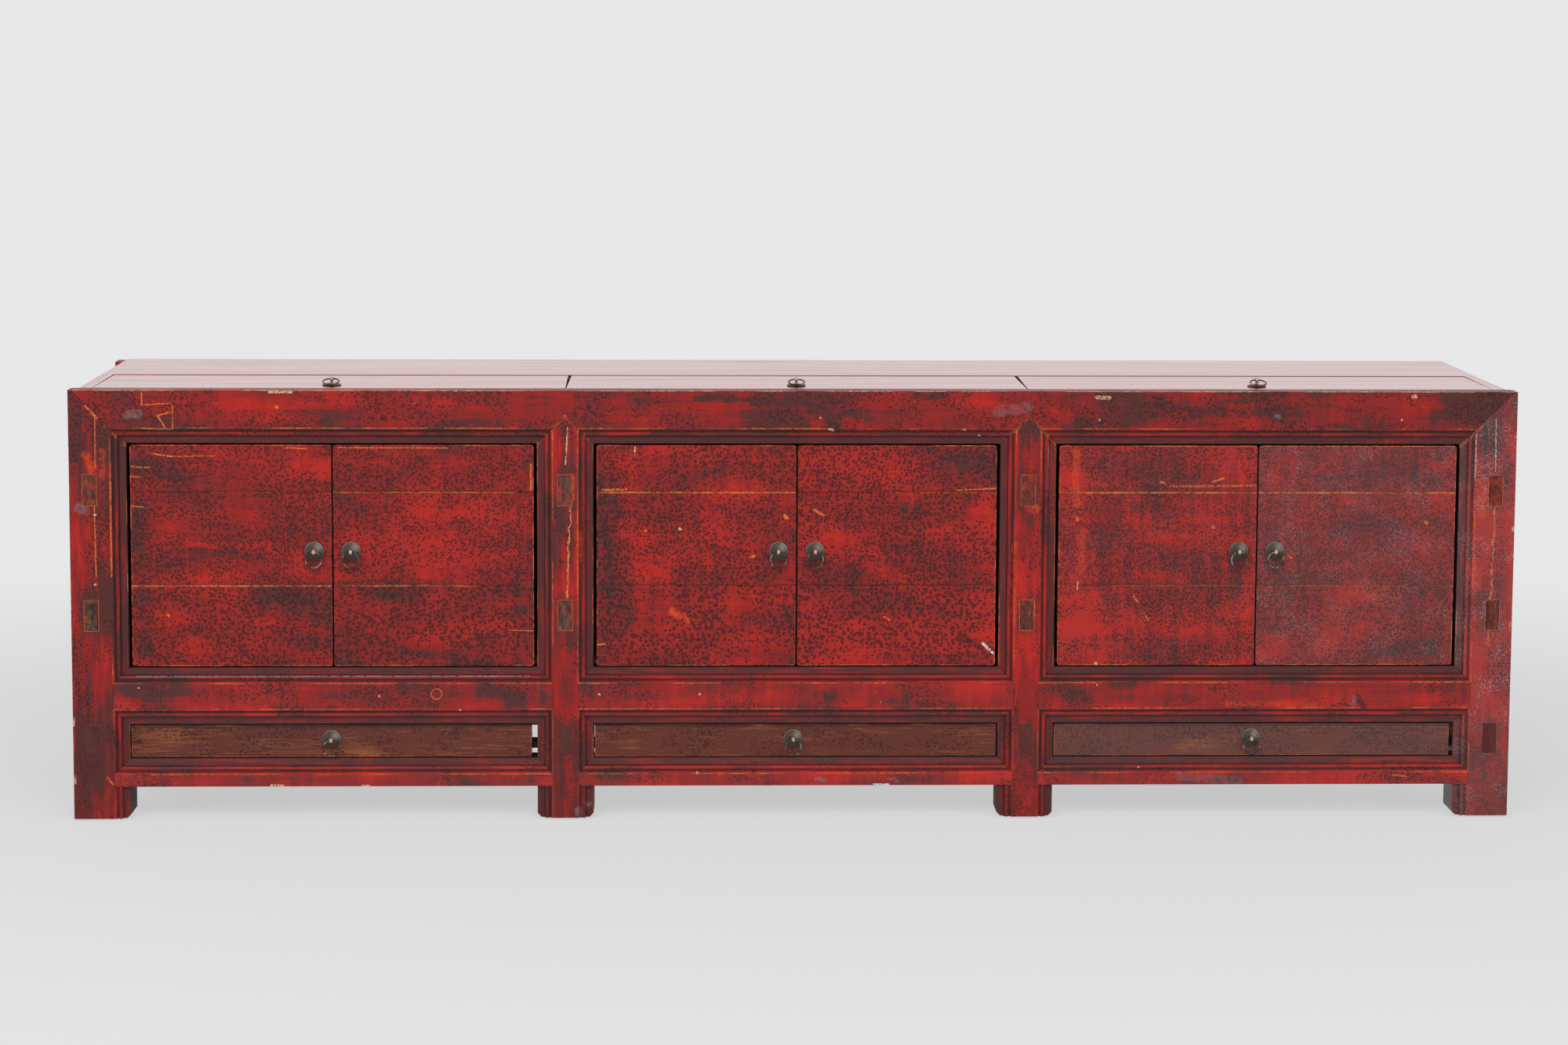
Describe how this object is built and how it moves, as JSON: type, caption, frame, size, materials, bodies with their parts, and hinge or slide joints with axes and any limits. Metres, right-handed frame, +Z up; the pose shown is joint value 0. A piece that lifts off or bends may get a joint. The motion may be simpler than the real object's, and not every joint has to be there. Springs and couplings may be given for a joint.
{
  "type": "sideboard",
  "caption": "Long low sideboard with moulded posts and rails, paired plank doors on wooden pins above shallow drawers, lids let into the top, and ring pulls.",
  "frame": {"origin": "centre of the base, on the surface it stands on, midway between the rear face and the foremost pull", "axes": "+X to the right seen from the front, +Y to the rear, +Z up"},
  "size_m": [2.16, 0.4368, 0.6633],
  "materials": {
    "red_lacquer": "worn red lacquer over dark spots",
    "dark_lacquer": "worn dark red lacquer",
    "brown_lacquer": "worn brown lacquer",
    "bare_wood": "old bare softwood",
    "aged_brass": "aged brass",
    "dark_ring": "dark aged brass"
  },
  "bodies": {
    "root": {"front_left_post": "red_lacquer", "inner_left_post": "red_lacquer", "inner_right_post": "red_lacquer", "front_right_post": "red_lacquer", "front_top_rail": "red_lacquer", "rear_top_board": "red_lacquer", "left_middle_rail": "red_lacquer", "left_bottom_rail": "red_lacquer", "left_cupboard_floor": "bare_wood", "centre_middle_rail": "red_lacquer", "centre_bottom_rail": "red_lacquer", "centre_cupboard_floor": "bare_wood", "right_middle_rail": "red_lacquer", "right_bottom_rail": "red_lacquer", "right_cupboard_floor": "bare_wood", "rear_left_post": "dark_lacquer", "rear_right_post": "dark_lacquer", "left_end_frame": "dark_lacquer", "right_end_frame": "dark_lacquer", "left_partition_frame": "bare_wood", "right_partition_frame": "bare_wood", "back_panel": "bare_wood", "drawer_runner_frame": "bare_wood"},
    "left_bay_left_door": {"left_bay_left_door": "red_lacquer", "left_bay_left_door_pull_plate": "aged_brass"},
    "left_bay_left_door_ring": {"left_bay_left_door_pull_ring": "dark_ring"},
    "left_bay_right_door": {"left_bay_right_door": "red_lacquer", "left_bay_right_door_pull_plate": "aged_brass"},
    "left_bay_right_door_ring": {"left_bay_right_door_pull_ring": "dark_ring"},
    "left_drawer": {"left_drawer": "brown_lacquer", "left_drawer_pull_plate": "aged_brass"},
    "left_drawer_ring": {"left_drawer_pull_ring": "dark_ring"},
    "left_lid": {"left_lid": "red_lacquer", "left_lid_pull_plate": "aged_brass"},
    "left_lid_ring": {"left_lid_pull_ring": "dark_ring"},
    "centre_bay_left_door": {"centre_bay_left_door": "red_lacquer", "centre_bay_left_door_pull_plate": "aged_brass"},
    "centre_bay_left_door_ring": {"centre_bay_left_door_pull_ring": "dark_ring"},
    "centre_bay_right_door": {"centre_bay_right_door": "red_lacquer", "centre_bay_right_door_pull_plate": "aged_brass"},
    "centre_bay_right_door_ring": {"centre_bay_right_door_pull_ring": "dark_ring"},
    "centre_drawer": {"centre_drawer": "brown_lacquer", "centre_drawer_pull_plate": "aged_brass"},
    "centre_drawer_ring": {"centre_drawer_pull_ring": "dark_ring"},
    "centre_lid": {"centre_lid": "red_lacquer", "centre_lid_pull_plate": "aged_brass"},
    "centre_lid_ring": {"centre_lid_pull_ring": "dark_ring"},
    "right_bay_left_door": {"right_bay_left_door": "red_lacquer", "right_bay_left_door_pull_plate": "aged_brass"},
    "right_bay_left_door_ring": {"right_bay_left_door_pull_ring": "dark_ring"},
    "right_bay_right_door": {"right_bay_right_door": "red_lacquer", "right_bay_right_door_pull_plate": "aged_brass"},
    "right_bay_right_door_ring": {"right_bay_right_door_pull_ring": "dark_ring"},
    "right_drawer": {"right_drawer": "brown_lacquer", "right_drawer_pull_plate": "aged_brass"},
    "right_drawer_ring": {"right_drawer_pull_ring": "dark_ring"},
    "right_lid": {"right_lid": "red_lacquer", "right_lid_pull_plate": "aged_brass"},
    "right_lid_ring": {"right_lid_pull_ring": "dark_ring"}
  },
  "joints": [
    {"name": "left_bay_left_door_swing", "type": "hinge", "parent": "root", "child": "left_bay_left_door", "pos_m": [-0.979, -0.1951, 0.401], "axis": [0, 0, -1], "range_deg": [0, 95]},
    {"name": "left_bay_left_door_ring_turn", "type": "hinge", "parent": "left_bay_left_door", "child": "left_bay_left_door_ring", "pos_m": [-0.7195, -0.2151, 0.408], "axis": [-1, 0, 0], "range_deg": [-8, 150]},
    {"name": "left_bay_right_door_swing", "type": "hinge", "parent": "root", "child": "left_bay_right_door", "pos_m": [-0.405, -0.1951, 0.401], "axis": [0, 0, 1], "range_deg": [0, 95]},
    {"name": "left_bay_right_door_ring_turn", "type": "hinge", "parent": "left_bay_right_door", "child": "left_bay_right_door_ring", "pos_m": [-0.6645, -0.2151, 0.408], "axis": [-1, 0, 0], "range_deg": [-8, 150]},
    {"name": "left_drawer_slide", "type": "slide", "parent": "root", "child": "left_drawer", "axis": [0, -1, 0], "range_m": [0, 0.24]},
    {"name": "left_drawer_ring_turn", "type": "hinge", "parent": "left_drawer", "child": "left_drawer_ring", "pos_m": [-0.696, -0.2146, 0.1227], "axis": [-1, 0, 0], "range_deg": [-8, 150]},
    {"name": "left_lid_swing", "type": "hinge", "parent": "root", "child": "left_lid", "pos_m": [-0.698, -0.0156, 0.64], "axis": [-1, 0, 0], "range_deg": [0, 95]},
    {"name": "left_lid_ring_turn", "type": "hinge", "parent": "left_lid", "child": "left_lid_ring", "pos_m": [-0.698, -0.1466, 0.66], "axis": [-1, 0, 0], "range_deg": [0, 205]},
    {"name": "centre_bay_left_door_swing", "type": "hinge", "parent": "root", "child": "centre_bay_left_door", "pos_m": [-0.287, -0.1951, 0.401], "axis": [0, 0, -1], "range_deg": [0, 95]},
    {"name": "centre_bay_left_door_ring_turn", "type": "hinge", "parent": "centre_bay_left_door", "child": "centre_bay_left_door_ring", "pos_m": [-0.0275, -0.2151, 0.408], "axis": [-1, 0, 0], "range_deg": [-8, 150]},
    {"name": "centre_bay_right_door_swing", "type": "hinge", "parent": "root", "child": "centre_bay_right_door", "pos_m": [0.287, -0.1951, 0.401], "axis": [0, 0, 1], "range_deg": [0, 95]},
    {"name": "centre_bay_right_door_ring_turn", "type": "hinge", "parent": "centre_bay_right_door", "child": "centre_bay_right_door_ring", "pos_m": [0.0275, -0.2151, 0.408], "axis": [-1, 0, 0], "range_deg": [-8, 150]},
    {"name": "centre_drawer_slide", "type": "slide", "parent": "root", "child": "centre_drawer", "axis": [0, -1, 0], "range_m": [0, 0.24]},
    {"name": "centre_drawer_ring_turn", "type": "hinge", "parent": "centre_drawer", "child": "centre_drawer_ring", "pos_m": [-0.004, -0.2146, 0.1227], "axis": [-1, 0, 0], "range_deg": [-8, 150]},
    {"name": "centre_lid_swing", "type": "hinge", "parent": "root", "child": "centre_lid", "pos_m": [0, -0.0156, 0.64], "axis": [-1, 0, 0], "range_deg": [0, 95]},
    {"name": "centre_lid_ring_turn", "type": "hinge", "parent": "centre_lid", "child": "centre_lid_ring", "pos_m": [0, -0.1466, 0.66], "axis": [-1, 0, 0], "range_deg": [0, 205]},
    {"name": "right_bay_left_door_swing", "type": "hinge", "parent": "root", "child": "right_bay_left_door", "pos_m": [0.405, -0.1951, 0.401], "axis": [0, 0, -1], "range_deg": [0, 95]},
    {"name": "right_bay_left_door_ring_turn", "type": "hinge", "parent": "right_bay_left_door", "child": "right_bay_left_door_ring", "pos_m": [0.6645, -0.2151, 0.408], "axis": [-1, 0, 0], "range_deg": [-8, 150]},
    {"name": "right_bay_right_door_swing", "type": "hinge", "parent": "root", "child": "right_bay_right_door", "pos_m": [0.979, -0.1951, 0.401], "axis": [0, 0, 1], "range_deg": [0, 95]},
    {"name": "right_bay_right_door_ring_turn", "type": "hinge", "parent": "right_bay_right_door", "child": "right_bay_right_door_ring", "pos_m": [0.7195, -0.2151, 0.408], "axis": [-1, 0, 0], "range_deg": [-8, 150]},
    {"name": "right_drawer_slide", "type": "slide", "parent": "root", "child": "right_drawer", "axis": [0, -1, 0], "range_m": [0, 0.24]},
    {"name": "right_drawer_ring_turn", "type": "hinge", "parent": "right_drawer", "child": "right_drawer_ring", "pos_m": [0.688, -0.2146, 0.1227], "axis": [-1, 0, 0], "range_deg": [-8, 150]},
    {"name": "right_lid_swing", "type": "hinge", "parent": "root", "child": "right_lid", "pos_m": [0.698, -0.0156, 0.64], "axis": [-1, 0, 0], "range_deg": [0, 95]},
    {"name": "right_lid_ring_turn", "type": "hinge", "parent": "right_lid", "child": "right_lid_ring", "pos_m": [0.698, -0.1466, 0.66], "axis": [-1, 0, 0], "range_deg": [0, 205]}
  ]
}
